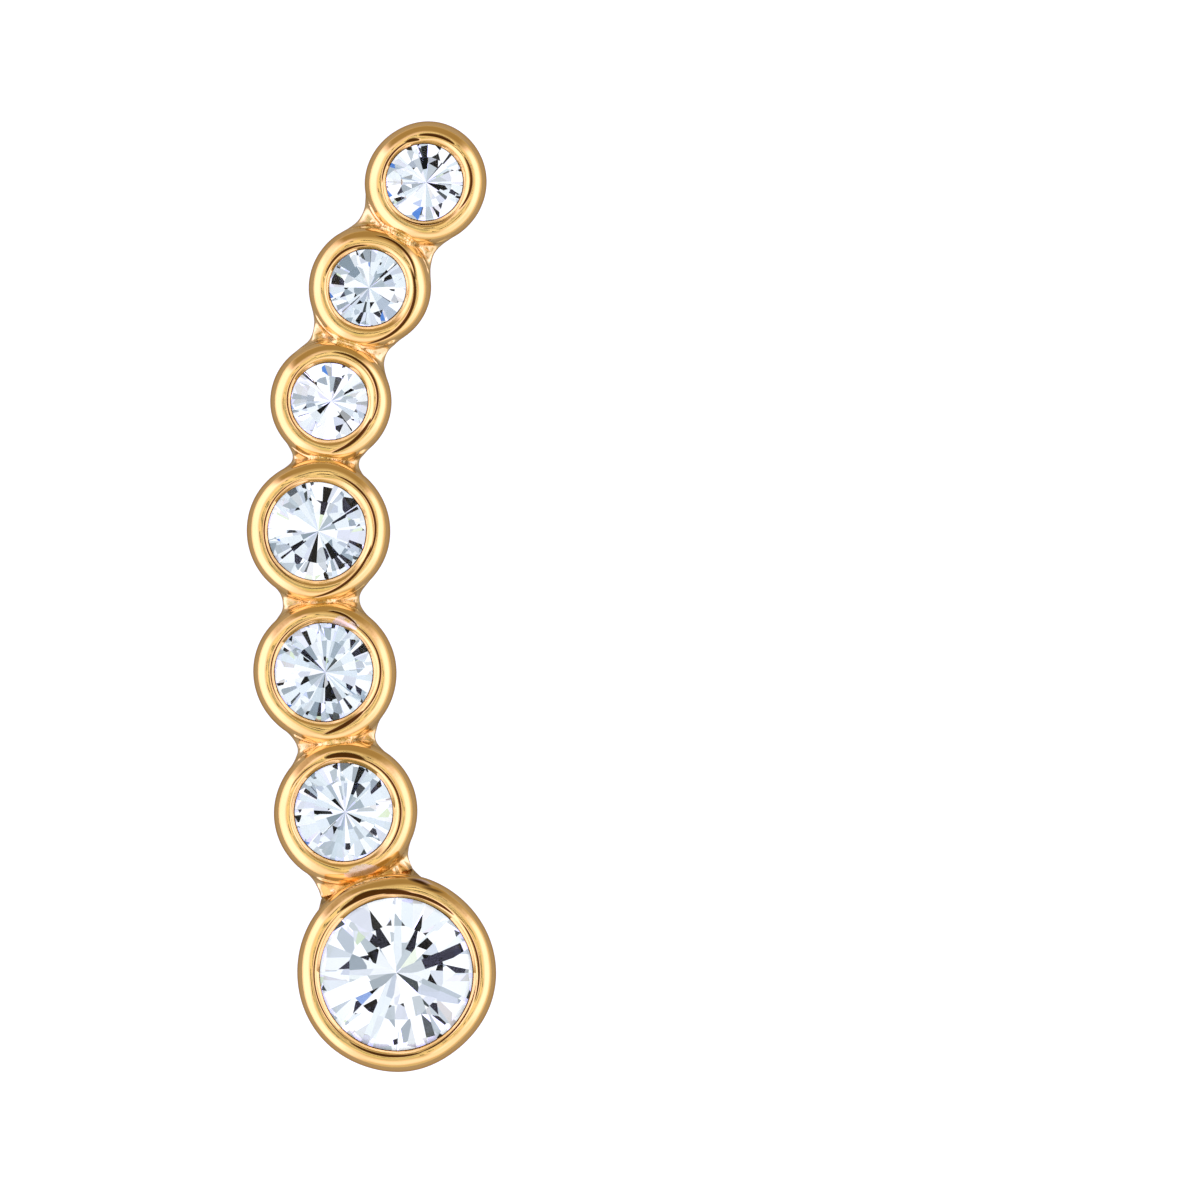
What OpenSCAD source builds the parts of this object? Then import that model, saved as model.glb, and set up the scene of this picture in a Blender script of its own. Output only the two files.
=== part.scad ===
// Ear climber: seven round foiled stones in rub-over bezels, joined in a curved row by solder necks,
// with a bent pin behind that goes through the ear and up behind its rim.
// Millimetres. It lies on its pin with the stones facing up (+Z) and the large stone towards -Y.

/* [Stones] */
// Girdle diameter of the three stones at the top
small_stone_d = 1.85; // [1.75:0.05:1.95]
// Girdle diameter of the three stones in the middle
medium_stone_d = 2.3; // [2.2:0.05:2.4]
// Girdle diameter of the stone at the bottom
large_stone_d = 3.45; // [3.3:0.05:3.6]
// Width of the flat table, as a share of the girdle diameter
table_share = 0.58; // [0.54:0.02:0.62]
// Slope of the kite facets above the girdle, in degrees
crown_slope = 33; // [30:1:35]
// Slope of the main facets below the girdle, in degrees
pavilion_slope = 42; // [40:1:43]

/* [Bezels] */
// Metal outside the girdle of each stone
wall = 0.36; // [0.34:0.02:0.42]
// How far the rubbed-over lip covers the stone
lip_cover = 0.12; // [0.1:0.01:0.14]
// Radius of the rounded outer shoulder of the rim
shoulder_r = 0.34; // [0.3:0.02:0.34]
// How much narrower the cup is at its back than at its rim, on each side
draft = 0.14; // [0.1:0.02:0.2]
// Metal under the point of each stone
floor_t = 0.36; // [0.3:0.02:0.5]

/* [Row] */
// How far neighbouring bezels run into each other
overlap = 0.05; // [0.03:0.01:0.08]
// Radius of the hollow curve on each side of a solder neck
neck_r = 0.4; // [0.36:0.02:0.46]
// Height of a solder neck, as a share of the lower of its two bezels
neck_share = 0.62; // [0.5:0.02:0.7]

/* [Ear pin] */
// Thickness of the pin's round wire
pin_d = 0.8; // [0.7:0.05:0.9]
// Space for the ear between the pin and the backs of the bezels
ear_gap = 3; // [2.6:0.1:3.6]
// Radius of the wire's centre line at the elbow
elbow_r = 1.1; // [0.9:0.1:1.3]
// Bend of the wire, seen from the front, below the fourth stone
lower_bend_r = 24.6; // [23:0.2:27]
// Bend of the wire above the fourth stone
upper_bend_r = 12.4; // [12:0.2:15]
// Length of the straight end that the ear slides over
straight_l = 3; // [2.6:0.1:3.2]

/* [Hidden] */

// One row for each stone, from the bottom up:
// girdle diameter, bearing from the stone below (degrees from +Y towards +X), turn of the facets
ROW = [
    [large_stone_d, 0, 0],
    [medium_stone_d, -17.6, 9],
    [medium_stone_d, -8.1, 17],
    [medium_stone_d, -2.8, 3],
    [small_stone_d, 5.5, 12],
    [small_stone_d, 18.6, 6],
    [small_stone_d, 28.4, 17]
];
LAST = len(ROW) - 1;
JOINT_STONE = 3;     // the pin's two bends meet behind this stone
girdle_t = 0.06;     // thickness of the stone's edge
stone_gap = 0.03;    // clearance between a stone and its seat
point_gap = 0.06;    // clearance under the stone's point
lip_rise = 0.15;     // height of the lip's inner edge above the girdle
lip_slope_h = 0.18;  // height of the slope from the lip's inner edge to the crest
foot_chamfer = 0.08; // bevel around the back of each cup
lower_bend_deg = 17.5;
upper_bend_deg = 22.5;
link_l = 0.5;        // straight length of wire beside the middle and the elbow
bead_d = 0.86;       // bead in which two lengths of wire meet
shy = 0.1;           // distance from a bead's centre to the ends of the wires inside it
root_r = 0.75;       // solder cone where the pin leaves the large bezel
root_h = 0.3;
sink = 0.2;          // how far the post runs into the metal of the cup
eighth = 45;
half_step = eighth / 2;

function girdle_d(i) = ROW[i][0];
function bearing(i) = ROW[i][1];
function facet_turn(i) = ROW[i][2];
function outer_r(d) = d / 2 + wall;
function crown_h(d) = d / 2 * (1 - table_share) * tan(crown_slope);
function pavilion_h(d) = d / 2 * tan(pavilion_slope);
function girdle_z(d) = floor_t + point_gap + pavilion_h(d);
function bezel_h(d) = girdle_z(d) + girdle_t + lip_rise + lip_slope_h;
function spacing(i) = outer_r(girdle_d(i - 1)) + outer_r(girdle_d(i)) - overlap;
function step(i) = spacing(i) * [sin(bearing(i)), cos(bearing(i))];
function chained(i) = i == 0 ? [0, 0] : chained(i - 1) + step(i);

// The row is centred on the box around all its bezels
left = min([for (i = [0 : LAST]) chained(i).x - outer_r(girdle_d(i))]);
right = max([for (i = [0 : LAST]) chained(i).x + outer_r(girdle_d(i))]);
low = min([for (i = [0 : LAST]) chained(i).y - outer_r(girdle_d(i))]);
high = max([for (i = [0 : LAST]) chained(i).y + outer_r(girdle_d(i))]);
centre = [left + right, low + high] / 2;
function at(i) = chained(i) - centre;
function bend_end(r, deg) = r * [1 - cos(deg), -sin(deg)];
back_z = pin_d + ear_gap;

// A cup before its stone's seat is cut: tapered wall, bevelled foot and rounded shoulder
module cup_blank(d) {
    r = outer_r(d);
    h = bezel_h(d);
    foot_r = r - draft;
    rotate_extrude($fn = 96)
        union() {
            polygon([
                [0, 0],
                [foot_r - foot_chamfer, 0],
                [foot_r, foot_chamfer],
                [r, h - shoulder_r],
                [r - shoulder_r, h - shoulder_r],
                [r - shoulder_r, h],
                [0, h]
            ]);
            intersection() {
                translate([r - shoulder_r, h - shoulder_r])
                    circle(r = shoulder_r, $fn = 64);
                translate([r - shoulder_r, h - shoulder_r])
                    square(shoulder_r);
            }
        }
}

// The hollow for a stone: cone under the girdle, bore around it, and the lip's inward slope above
module stone_seat(d) {
    girdle_r = d / 2;
    lip_r = girdle_r - lip_cover;
    z = girdle_z(d);
    above = bezel_h(d) + 1;
    crest_r = outer_r(d) - shoulder_r;
    rotate_extrude($fn = 96)
        polygon([
            [0, floor_t],
            [girdle_r + stone_gap, z],
            [girdle_r + stone_gap, z + girdle_t + stone_gap],
            [lip_r, z + girdle_t + lip_rise],
            [crest_r, bezel_h(d)],
            [crest_r, above],
            [0, above]
        ]);
}

// The solder neck between bezels i and i + 1, with a hollow curve on each side
module neck(i) {
    r_a = outer_r(girdle_d(i));
    r_b = outer_r(girdle_d(i + 1));
    reach = spacing(i + 1);
    side_a = r_a + neck_r - overlap / 2;
    side_b = r_b + neck_r - overlap / 2;
    along = (side_a * side_a - side_b * side_b + reach * reach) / (2 * reach);
    aside = sqrt(side_a * side_a - along * along);
    lower = min(bezel_h(girdle_d(i)), bezel_h(girdle_d(i + 1)));
    translate([at(i).x, at(i).y, foot_chamfer])
        rotate(-bearing(i + 1))
            linear_extrude(lower * neck_share)
                difference() {
                    polygon([[0, 0], [aside, along], [0, reach], [-aside, along]]);
                    for (side = [-1, 1])
                        translate([side * aside, along])
                            circle(r = neck_r, $fn = 64);
                }
}

// A bend of the pin that starts at the origin along -Y and turns towards +X by deg, ending in a bead
module bend(bend_r, deg) {
    translate([bend_r, 0])
        rotate(180)
            rotate_extrude(angle = deg - shy / bend_r * 180 / PI, $fn = 360)
                translate([bend_r, 0])
                    circle(d = pin_d, $fn = 48);
    translate(bend_end(bend_r, deg))
        sphere(d = bead_d, $fn = 48);
}

// A straight length of the pin's wire along Y, from y = from to y = to
module wire(from, to) {
    translate([0, from, 0])
        rotate([-90, 0, 0])
            cylinder(d = pin_d, h = to - from, $fn = 48);
}

// The straight end of the pin, from the bead at the origin along +Y, with a rounded tip
module straight_end() {
    wire(shy, straight_l);
    translate([0, straight_l, 0])
        sphere(d = pin_d, $fn = 48);
}

// The post and elbow, which come down from the large bezel and end at the origin, running along +Y
module post_and_elbow() {
    post_l = ear_gap + pin_d / 2 - elbow_r;
    translate([0, -elbow_r, elbow_r])
        cylinder(d = pin_d, h = post_l + sink, $fn = 48);
    translate([0, -elbow_r, elbow_r + post_l - root_h])
        cylinder(r1 = pin_d / 2, r2 = root_r, h = root_h + sink / 2, $fn = 48);
    translate([0, 0, elbow_r])
        rotate([90, 0, -90])
            rotate([0, 0, -90])
                rotate_extrude(angle = 90, $fn = 360)
                    translate([elbow_r, 0])
                        circle(d = pin_d, $fn = 48);
}

// The whole pin: a straight middle, a bend on each side of it, the straight end and the elbow
module ear_pin() {
    half = link_l / 2;
    start = at(JOINT_STONE);
    translate([start.x, start.y, pin_d / 2]) {
        wire(-half, half);
        translate([0, half, 0]) {
            mirror([0, 1, 0])
                bend(upper_bend_r, upper_bend_deg);
            translate([bend_end(upper_bend_r, upper_bend_deg).x, -bend_end(upper_bend_r, upper_bend_deg).y])
                rotate(-upper_bend_deg)
                    straight_end();
        }
        translate([0, -half, 0]) {
            bend(lower_bend_r, lower_bend_deg);
            translate(bend_end(lower_bend_r, lower_bend_deg))
                rotate(lower_bend_deg) {
                    wire(-link_l, -shy);
                    translate([0, -link_l, 0])
                        post_and_elbow();
                }
        }
    }
}

// All the metal: soldered up, so it is one solid
module setting() {
    color([0.93, 0.68, 0.33]) {
        difference() {
            translate([0, 0, back_z]) {
                for (i = [0 : LAST])
                    translate(at(i))
                        cup_blank(girdle_d(i));
                for (i = [0 : LAST - 1])
                    neck(i);
            }
            for (i = [0 : LAST])
                translate([at(i).x, at(i).y, back_z])
                    stone_seat(girdle_d(i));
        }
        ear_pin();
    }
}

// A ring of eight points at radius r and height z, turned by turn degrees
function ring(r, z, turn) = [for (k = [0 : 7]) [r * cos(eighth * k + turn), r * sin(eighth * k + turn), z]];

// A brilliant cut on a girdle of diameter d whose lower edge lies in z = 0.
// The kite facets and the pavilion's main facets are flat: their side corners lie in the plane
// through their two ends.
module brilliant(d) {
    r = d / 2;
    table_r = r * table_share;
    kite_r = (r + table_r) / 2 + 0.06 * r;
    main_r = 0.24 * r;
    top = girdle_t + crown_h(d);
    kite_z = girdle_t + crown_h(d) * (r - kite_r * cos(half_step)) / (r - table_r);
    main_z = -pavilion_h(d) * (1 - main_r * cos(half_step) / r);
    table = 0;
    kite = 8;
    rim_main = 16;
    rim_half = 24;
    edge_main = 32;
    edge_half = 40;
    main = 48;
    point = 56;
    points = concat(
        ring(table_r, top, 0),
        ring(kite_r, kite_z, half_step),
        ring(r, girdle_t, 0),
        ring(r, girdle_t, half_step),
        ring(r, 0, 0),
        ring(r, 0, half_step),
        ring(main_r, main_z, half_step),
        [[0, 0, -pavilion_h(d)]]
    );
    faces = concat(
        [[for (k = [7 : -1 : 0]) table + k]],
        [for (k = [0 : 7]) let (n = (k + 1) % 8) each [
            [table + k, table + n, kite + k],
            [table + n, kite + n, rim_main + n, kite + k],
            [kite + k, rim_half + k, rim_main + k],
            [kite + k, rim_main + n, rim_half + k],
            [rim_main + k, rim_half + k, edge_half + k, edge_main + k],
            [rim_half + k, rim_main + n, edge_main + n, edge_half + k],
            [main + k, edge_main + k, edge_half + k],
            [main + k, edge_half + k, edge_main + n],
            [point, main + k, edge_main + n, main + n]
        ]]
    );
    polyhedron(points, faces);
}

module stone(i) {
    color([0.9, 0.94, 0.98])
        translate([at(i).x, at(i).y, back_z + girdle_z(girdle_d(i))])
            rotate(facet_turn(i))
                brilliant(girdle_d(i));
}

setting();
stone(0);  // stone_1
stone(1);  // stone_2
stone(2);  // stone_3
stone(3);  // stone_4
stone(4);  // stone_5
stone(5);  // stone_6
stone(6);  // stone_7
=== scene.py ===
# %% [markdown]
# # An ear climber, dressed for its portrait
# Seven round foiled stones sit in gold rub-over bezels. The bezels are soldered side by side in a
# curved row, and a bent gold pin behind them holds the row on the ear.
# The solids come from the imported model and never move. Here they get the surfaces that a jeweller
# would see: rolled rims, a burnished lip, uneven solder, polished plating and cut stones.

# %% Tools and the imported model
from itertools import combinations

import bpy
import numpy as np
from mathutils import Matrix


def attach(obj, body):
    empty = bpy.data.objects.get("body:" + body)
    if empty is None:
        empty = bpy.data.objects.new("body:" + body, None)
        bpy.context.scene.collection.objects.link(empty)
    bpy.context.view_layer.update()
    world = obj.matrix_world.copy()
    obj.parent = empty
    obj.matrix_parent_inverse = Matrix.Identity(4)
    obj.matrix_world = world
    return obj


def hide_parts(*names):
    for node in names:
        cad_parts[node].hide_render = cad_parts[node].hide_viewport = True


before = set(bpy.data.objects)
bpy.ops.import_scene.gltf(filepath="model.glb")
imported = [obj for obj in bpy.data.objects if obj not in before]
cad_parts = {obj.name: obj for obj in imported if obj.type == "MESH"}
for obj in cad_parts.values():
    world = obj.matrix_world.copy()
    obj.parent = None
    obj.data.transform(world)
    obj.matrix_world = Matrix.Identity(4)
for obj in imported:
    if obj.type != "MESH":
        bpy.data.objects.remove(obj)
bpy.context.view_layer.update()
print("solids:", sorted(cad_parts))

# %% [markdown]
# ## Where the stones are
# Every stone is a node of its own, so its corner points say where it sits. The lowest point lies on
# the stone's axis, the points farthest from the axis are its edge, and the highest are its table.
# Reading them here keeps the new surfaces in step with the solids, with nothing typed twice.
# All sizes in this lesson are millimetres until the moment that a mesh is made.

# %% Read the stones
MM = 0.001
AT_EDGE = 0.998                        # share of the radius beyond which a corner is on the edge
AT_TABLE = 0.002                       # millimetres below the top within which it is on the table


def points_of(thing):
    """The points of a mesh object as an array of rows x, y, z in millimetres."""
    flat = np.empty(len(thing.data.vertices) * 3, np.float32)
    thing.data.vertices.foreach_get("co", flat)
    return flat.reshape(-1, 3).astype(float) / MM


def measure_stone(node):
    """Axis, radius and heights of a round stone, from the distances of its corners to its axis."""
    p = points_of(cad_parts[node])
    axis = p[p[:, 2].argmin(), :2]
    away = np.hypot(*(p[:, :2] - axis).T)
    edge = p[away > AT_EDGE * away.max()]
    top = p[p[:, 2] > p[:, 2].max() - AT_TABLE]
    return dict(axis=axis, r=away.max(), point=p[:, 2].min(), low=edge[:, 2].min(),
                high=edge[:, 2].max(), table=top[:, 2].mean(),
                table_r=np.hypot(*(top[:, :2] - axis).T).max())


STONES = [measure_stone(f"stone_{n}") for n in range(1, 8)]
for n, s in enumerate(STONES, 1):
    print(f"stone {n}: axis {s['axis'].round(2)} mm, {2 * s['r']:.2f} mm wide, "
          f"edge at {s['low']:.2f} mm, table at {s['table']:.2f} mm")

# %% [markdown]
# ## The camera
# The photograph looks straight at the fronts, so the camera hangs above the row and looks down.
# A parallel (orthographic) camera keeps every rim round, as a long lens does. One pixel of the
# 1200-pixel picture covers a fixed length of the jewel, and that ratio gives the camera its width.

# %% Camera above the row
IMAGE = 1200
MM_PER_PX = 20.0 / 951                  # the row is 20 mm long and 951 pixels high
ROW_MIDDLE_PX = np.array([371, 596.5])  # middle of the row in the photograph
CAMERA_HEIGHT = 0.12                    # metres above the table
aim = (IMAGE / 2 - ROW_MIDDLE_PX) * MM_PER_PX * [1, -1]

camera_data = bpy.data.cameras.new("camera")
camera_data.type = "ORTHO"
camera_data.ortho_scale = IMAGE * MM_PER_PX * MM
camera_data.clip_start, camera_data.clip_end = 0.001, 1
camera = bpy.data.objects.new("camera", camera_data)
camera.location = (aim[0] * MM, aim[1] * MM, CAMERA_HEIGHT)
bpy.context.scene.collection.objects.link(camera)
bpy.context.scene.camera = camera
print(f"the camera sees {camera_data.ortho_scale / MM:.2f} mm, aimed at {aim.round(3)} mm")

# %% [markdown]
# ## Distances instead of edges
# Polished castings have no sharp inner corners: the solder flows up each wall in a small curve.
# Joining meshes would leave hard creases, so the metal is described by a signed distance: negative
# inside, positive outside. Two distances can be joined with a rounded corner by a short formula,
# and the mesh is then found where the distance is zero.

# %% Rounded joins of distances
def join_round(a, b, r):
    """Union with a hollow fillet: within r of both shapes, the surface follows a circle of radius r."""
    u, v = np.maximum(r - a, 0), np.maximum(r - b, 0)
    return np.maximum(r, np.minimum(a, b)) - np.hypot(u, v)


def cut_round(a, b, r):
    """Intersection with a rounded edge: beyond both limits less r, the surface is a circle of radius r."""
    u, v = np.maximum(r + a, 0), np.maximum(r + b, 0)
    return np.minimum(-r, np.maximum(a, b)) + np.hypot(u, v)


# %% [markdown]
# ## Organic unevenness
# Solder is never quite even, and neither is a rim that was pushed over by hand. A sum of a few
# sine waves in seeded directions gives a smooth, repeatable unevenness of any size. It needs no
# picture, and the same numbers come out on every run.

# %% Seeded waves
def waves(x, y, z, size, seed, count=9):
    """Sum of plane sine waves of about the given wavelength, scaled to roughly -1 to 1."""
    rng = np.random.default_rng(seed)
    direction = rng.normal(size=(count, 3))
    direction /= np.linalg.norm(direction, axis=1)[:, None]
    pitch = 2 * np.pi / (size * rng.uniform(0.7, 1.5, count))
    phase = rng.uniform(0, 2 * np.pi, count)
    total = sum(np.sin(k * (d[0] * x + d[1] * y + d[2] * z) + f)
                for d, k, f in zip(direction, pitch, phase))
    return total / np.sqrt(count)


def soft_step(x, low, high):
    """0 below low, 1 above high, and a smooth S-curve between."""
    t = np.clip((x - low) / (high - low), 0, 1)
    return t * t * (3 - 2 * t)


# %% [markdown]
# ## The cups and their solder necks
# Each bezel is a cup with a closed back: a slightly tapered wall, a bevelled foot, and a rim whose
# outer shoulder is rolled. Its distance is the wall's distance cut by the top and the back, with
# the shoulder's radius at the rim. Between two cups lies a neck of solder. Seen from the front it
# pulls in between the two circles; seen from the side it sits lower than the rims, and its top
# sags and wrinkles. The sizes are those of the solids. The waves come on top of them.

# %% Distance to the metal
WALL, SHOULDER, DRAFT, FOOT = 0.36, 0.34, 0.14, 0.08
LIP_COVER, LIP_RISE, LIP_SLOPE = 0.12, 0.15, 0.18
PIN_R, EAR_GAP = 0.4, 3.0
BACK = 2 * PIN_R + EAR_GAP             # height of the closed backs
OVERLAP = 0.05                         # how far neighbouring cups run into each other
CREASE_R = 0.05                        # radius of the join where they meet
FAR = 9.0                              # a distance that is farther than any other, in millimetres
NECK_SHARE = 0.80                      # height of the solder, as a share of the lower of its two cups
NECK_FILLETS = [0.9, 0.7, 0.7, 0.58, 0.8, 0.8]  # hollow curve beside each neck, from the large cup up
SOLDER_CLIMB = 0.13                    # how far the solder creeps up a wall
FILED_WAVE, RIM_WAVE, SIDE_WAVE = 0.014, 0.016, 0.007  # unevenness of walls, rims and solder sides
WRINKLES = [(0.046, 0.55, 40), (0.008, 0.2, 60), (0.0025, 0.1, 100)]  # height, length, seed; on the solder

for s in STONES:
    s["outer"] = s["r"] + WALL
    s["rim"] = s["high"] + LIP_RISE + LIP_SLOPE


def wall_distance(x, y, z, s):
    """Distance from a cup's tapered wall: distance from its axis, less the wall's radius there.

    A long, faint wave makes the outline as uneven as a wall that was filed by hand."""
    depth = np.clip(s["rim"] - SHOULDER - z, 0, None)
    narrow = DRAFT * depth / (s["rim"] - SHOULDER - BACK - FOOT)
    uneven = FILED_WAVE * waves(x, y, 0 * x, 2.1, 21, 4)
    return np.hypot(x - s["axis"][0], y - s["axis"][1]) - s["outer"] + narrow + uneven


def rim_wave(x, y):
    """How far the top of a rim rises or falls there: a faint wave about a millimetre long."""
    return RIM_WAVE * waves(x, y, 0 * x, 1.1, 22, 4)


def cup_distance(x, y, z, s):
    """The wall, cut by the rim with the rolled shoulder and by the back with a small bevel."""
    d = cut_round(wall_distance(x, y, z, s), z - s["rim"] - rim_wave(x, y), SHOULDER)
    return cut_round(d, BACK - z, FOOT)


def climb(away):
    """Height that the solder creeps up a wall: a quarter circle, highest where it touches the wall."""
    rest = SOLDER_CLIMB - np.clip(away, 0, SOLDER_CLIMB)
    return SOLDER_CLIMB - np.sqrt(SOLDER_CLIMB ** 2 - rest ** 2)


def neck_distance(x, y, z, i):
    """Solder between cups i and i + 1: the fillet of their walls, cut by a wrinkled top."""
    from_a, from_b = wall_distance(x, y, z, STONES[i]), wall_distance(x, y, z, STONES[i + 1])
    fillet = NECK_FILLETS[i]
    free = soft_step(np.minimum(from_a, from_b), 0, 0.1)
    d = join_round(from_a, from_b, fillet) + SIDE_WAVE * waves(x, y, z, 0.5, 80 + i, 5) * free
    d = cut_round(d, np.maximum(from_a, from_b) - fillet, 0.05)
    lower = min(STONES[i]["rim"], STONES[i + 1]["rim"])
    ripple = sum(height * waves(x, y, 0 * x, size, seed + i, 5) for height, size, seed in WRINKLES)
    top = BACK + NECK_SHARE * (lower - BACK) + ripple + climb(from_a) + climb(from_b)
    d = cut_round(d, z - top, 0.12)
    return cut_round(d, BACK + FOOT - z, 0.06)


def neighbours(i):
    """The numbers of the cups beside cup i; the cup at each end of the row has only one."""
    return [j for j in (i - 1, i + 1) if 0 <= j < len(STONES)]


def metal_distance(x, y, z, i):
    """Distance to cup i joined with its neighbours and the solder between them."""
    d = cup_distance(x, y, z, STONES[i])
    solder = np.full(np.shape(x), FAR)
    for j in neighbours(i):
        d = join_round(d, cup_distance(x, y, z, STONES[j]), CREASE_R)
        solder = np.minimum(solder, neck_distance(x, y, z, min(i, j)))
    return np.minimum(d, solder)


# %% [markdown]
# ## Casting rays to find the skin
# A cup's skin is found by sending straight rays out of a ring that runs inside its rim. For every
# angle round the cup and every slope from straight up to straight down, the ray walks outwards
# until the distance turns positive, and halving the last step pins the spot down. All rays are
# one array, so the whole skin is found at once. Rays that head into the next cup stop just past
# the plane where the two cups meet, hidden inside the metal.

# %% Find the outer skin of a cup
COARSE_STEPS, HALVINGS = 30, 18


def first_exit(distance, origin, heading, limit):
    """Where each ray leaves the metal: coarse steps to the first outside sample, then halving."""
    steps = np.linspace(0, 1, COARSE_STEPS)[:, None, None]
    samples = distance(*(o + h * limit * steps for o, h in zip(origin, heading)))
    outside = samples > 0
    first = np.where(outside.any(0), outside.argmax(0), len(steps) - 1)
    low, high = (first - 1) / (len(steps) - 1) * limit, first / (len(steps) - 1) * limit
    for _ in range(HALVINGS):
        middle = (low + high) / 2
        out = distance(*(o + h * middle for o, h in zip(origin, heading))) > 0
        low, high = np.where(out, low, middle), np.where(out, middle, high)
    return np.where(outside.any(0), high, limit)


def reach(i, angle, slope):
    """How far a ray may go: past the wall and the back, or just past the plane where the next cup begins."""
    s = STONES[i]
    ring, depth = s["outer"] - SHOULDER, s["rim"] - SHOULDER - BACK
    across, down = np.maximum(np.cos(slope), 1e-3), np.maximum(np.abs(np.sin(slope)), 1e-3)
    far = np.minimum(1.3 / across, (depth + 0.3) / down) + 0 * angle
    for j in neighbours(i):
        to = STONES[j]["axis"] - s["axis"]
        toward = np.cos(angle - np.arctan2(to[1], to[0]))
        plane = (s["outer"] - OVERLAP / 2 + 0.08) / np.maximum(toward, 0.05)
        far = np.where(toward > 0.05, np.minimum(far, (plane - ring) / across), far)
    return far


def outer_skin(i, angle):
    """Rows of points from the crest of the rim, over the roll and down the wall to the back."""
    s = STONES[i]
    slope = np.radians(np.concatenate([np.linspace(90, 0, 46)[:-1], np.linspace(0, -62, 54)[:-1],
                                       np.linspace(-62, -89.5, 26)]))[:, None]
    ring = s["outer"] - SHOULDER
    origin = (s["axis"][0] + ring * np.cos(angle) + 0 * slope,
              s["axis"][1] + ring * np.sin(angle) + 0 * slope,
              s["rim"] - SHOULDER + 0 * slope * angle)
    heading = (np.cos(slope) * np.cos(angle), np.cos(slope) * np.sin(angle), np.sin(slope) + 0 * angle)
    t = first_exit(lambda x, y, z: metal_distance(x, y, z, i), origin, heading, reach(i, angle, slope))
    return np.stack([o + h * t for o, h in zip(origin, heading)], -1)


# %% [markdown]
# ## The burnished lip
# A stone is held by pushing the rim's inner edge down over it and rubbing it bright. That leaves a
# narrow sloping band inside the crest and a thin bright edge against the stone. The opening is not
# quite in the middle, because one side was pushed farther than the other.
# Inside, out of sight, the seat follows the stone down to a point, so the shell is closed.

# %% Inner profile of a cup
LIP_EDGE_R = 0.022                     # radius of the lip's thin edge
LIP_LIFT = 0.035                       # height of the band's end above the seat
BAND_LINE, BAND_POWER = 0.25, 2.2      # share of the fall that is straight, and the power of the rest
BAND_WANDER, BAND_RIPPLE = 0.05, 0.006
OPENING_SHIFT = [(0.0, -0.03)] + [(-0.034, 0.0)] * 6   # from the large stone up


def inner_skin(i, angle):
    """Rows from the crest inwards, over the lip's edge and down the seat.

    The band falls by a line plus a power of the way across, so it is steepest beside the stone."""
    s = STONES[i]
    ring, rim, lip = s["outer"] - SHOULDER, s["rim"], s["r"] - LIP_COVER
    seat = s["high"] + LIP_RISE
    u = np.linspace(0, 1, 30)[:, None]
    droop = (seat + LIP_LIFT - rim) * (BAND_LINE * u + (1 - BAND_LINE) * u ** BAND_POWER)
    wander = 1 + BAND_WANDER * np.sin(3 * angle + i) * soft_step(u, 0.1, 0.5) * (1 - u)
    ripple = BAND_RIPPLE * np.sin(5 * angle + 2 * i) * np.sin(np.pi * u) ** 2
    rows_r = ring - (ring - lip) * (u * wander).clip(0, 1)
    rows_z = rim + droop + ripple
    edge = np.radians(np.linspace(70, -80, 9))[:, None]
    edge_r = lip + LIP_EDGE_R * (1 - np.cos(edge)) + 0 * angle
    edge_z = seat + 0.012 + LIP_EDGE_R * np.sin(edge) + 0 * angle
    deep_r = np.array([s["r"] + 0.03, s["r"] + 0.03, 0.3, 0.0])[:, None] + 0 * angle
    floor = s["point"] - 0.06
    deep_z = np.array([s["high"] + 0.03, s["low"], floor + 0.3 * (s["low"] - floor) / s["r"], floor])
    r = np.concatenate([rows_r, edge_r, deep_r])
    z = np.concatenate([rows_z, edge_z, deep_z[:, None] + 0 * angle])
    shift = np.concatenate([u, np.ones(len(edge)), np.zeros(len(deep_z))], axis=None)[:, None]
    dx, dy = OPENING_SHIFT[i]
    x = s["axis"][0] + shift * dx + r * np.cos(angle)
    y = s["axis"][1] + shift * dy + r * np.sin(angle)
    return np.stack([x, y, z + (1 - shift) * (z > seat) * rim_wave(x, y)], -1)
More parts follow.
